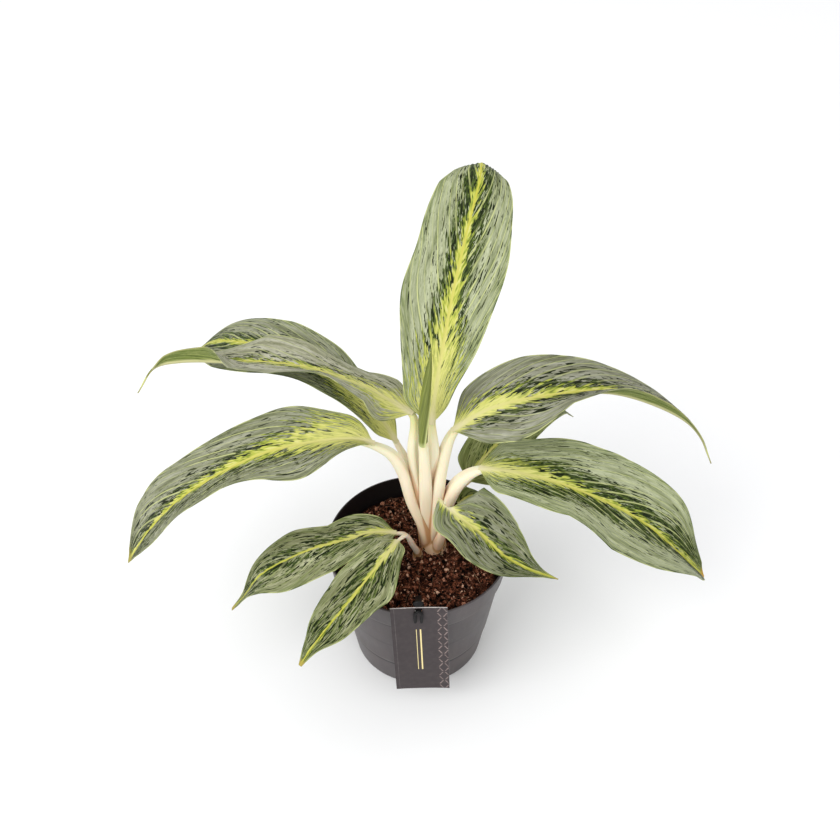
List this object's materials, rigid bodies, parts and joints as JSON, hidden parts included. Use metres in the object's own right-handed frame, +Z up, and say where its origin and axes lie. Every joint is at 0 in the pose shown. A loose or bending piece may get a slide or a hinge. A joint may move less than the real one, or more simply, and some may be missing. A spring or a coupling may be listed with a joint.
{
  "type": "potted plant",
  "caption": "Potted chinese evergreen with silver and dark-green mottled leaves on cream stalks, in a thin dark nursery pot with a hanging card",
  "frame": {"origin": "middle of the pot's underside, on the surface the pot stands on", "axes": "+Z up, -Y toward the front, where the card hangs, +X to the right as seen from the front"},
  "size_m": [0.3841, 0.246, 0.3098],
  "materials": {
    "pot_plastic": "satin",
    "potting_soil": "matte",
    "pale_stalk": "satin",
    "tan_stalk": "satin",
    "leaf_green": "satin",
    "young_leaf_green": "satin",
    "card": "satin",
    "black_plastic": "satin"
  },
  "bodies": {
    "root": {"pot": "pot_plastic", "potting_soil": "potting_soil", "main_shoot": "pale_stalk", "side_shoot": "tan_stalk", "young_rolled_leaf": "young_leaf_green", "tall_leaf": "leaf_green", "left_back_leaf": "leaf_green", "left_folded_leaf": "leaf_green", "left_middle_leaf": "leaf_green", "low_left_back_leaf": "leaf_green", "low_left_front_leaf": "leaf_green", "right_upper_leaf": "leaf_green", "right_middle_leaf": "leaf_green", "right_low_leaf": "leaf_green", "right_back_leaf": "leaf_green", "small_back_leaf": "leaf_green", "hanging_card": "card", "card_stake": "black_plastic"}
  },
  "joints": []
}
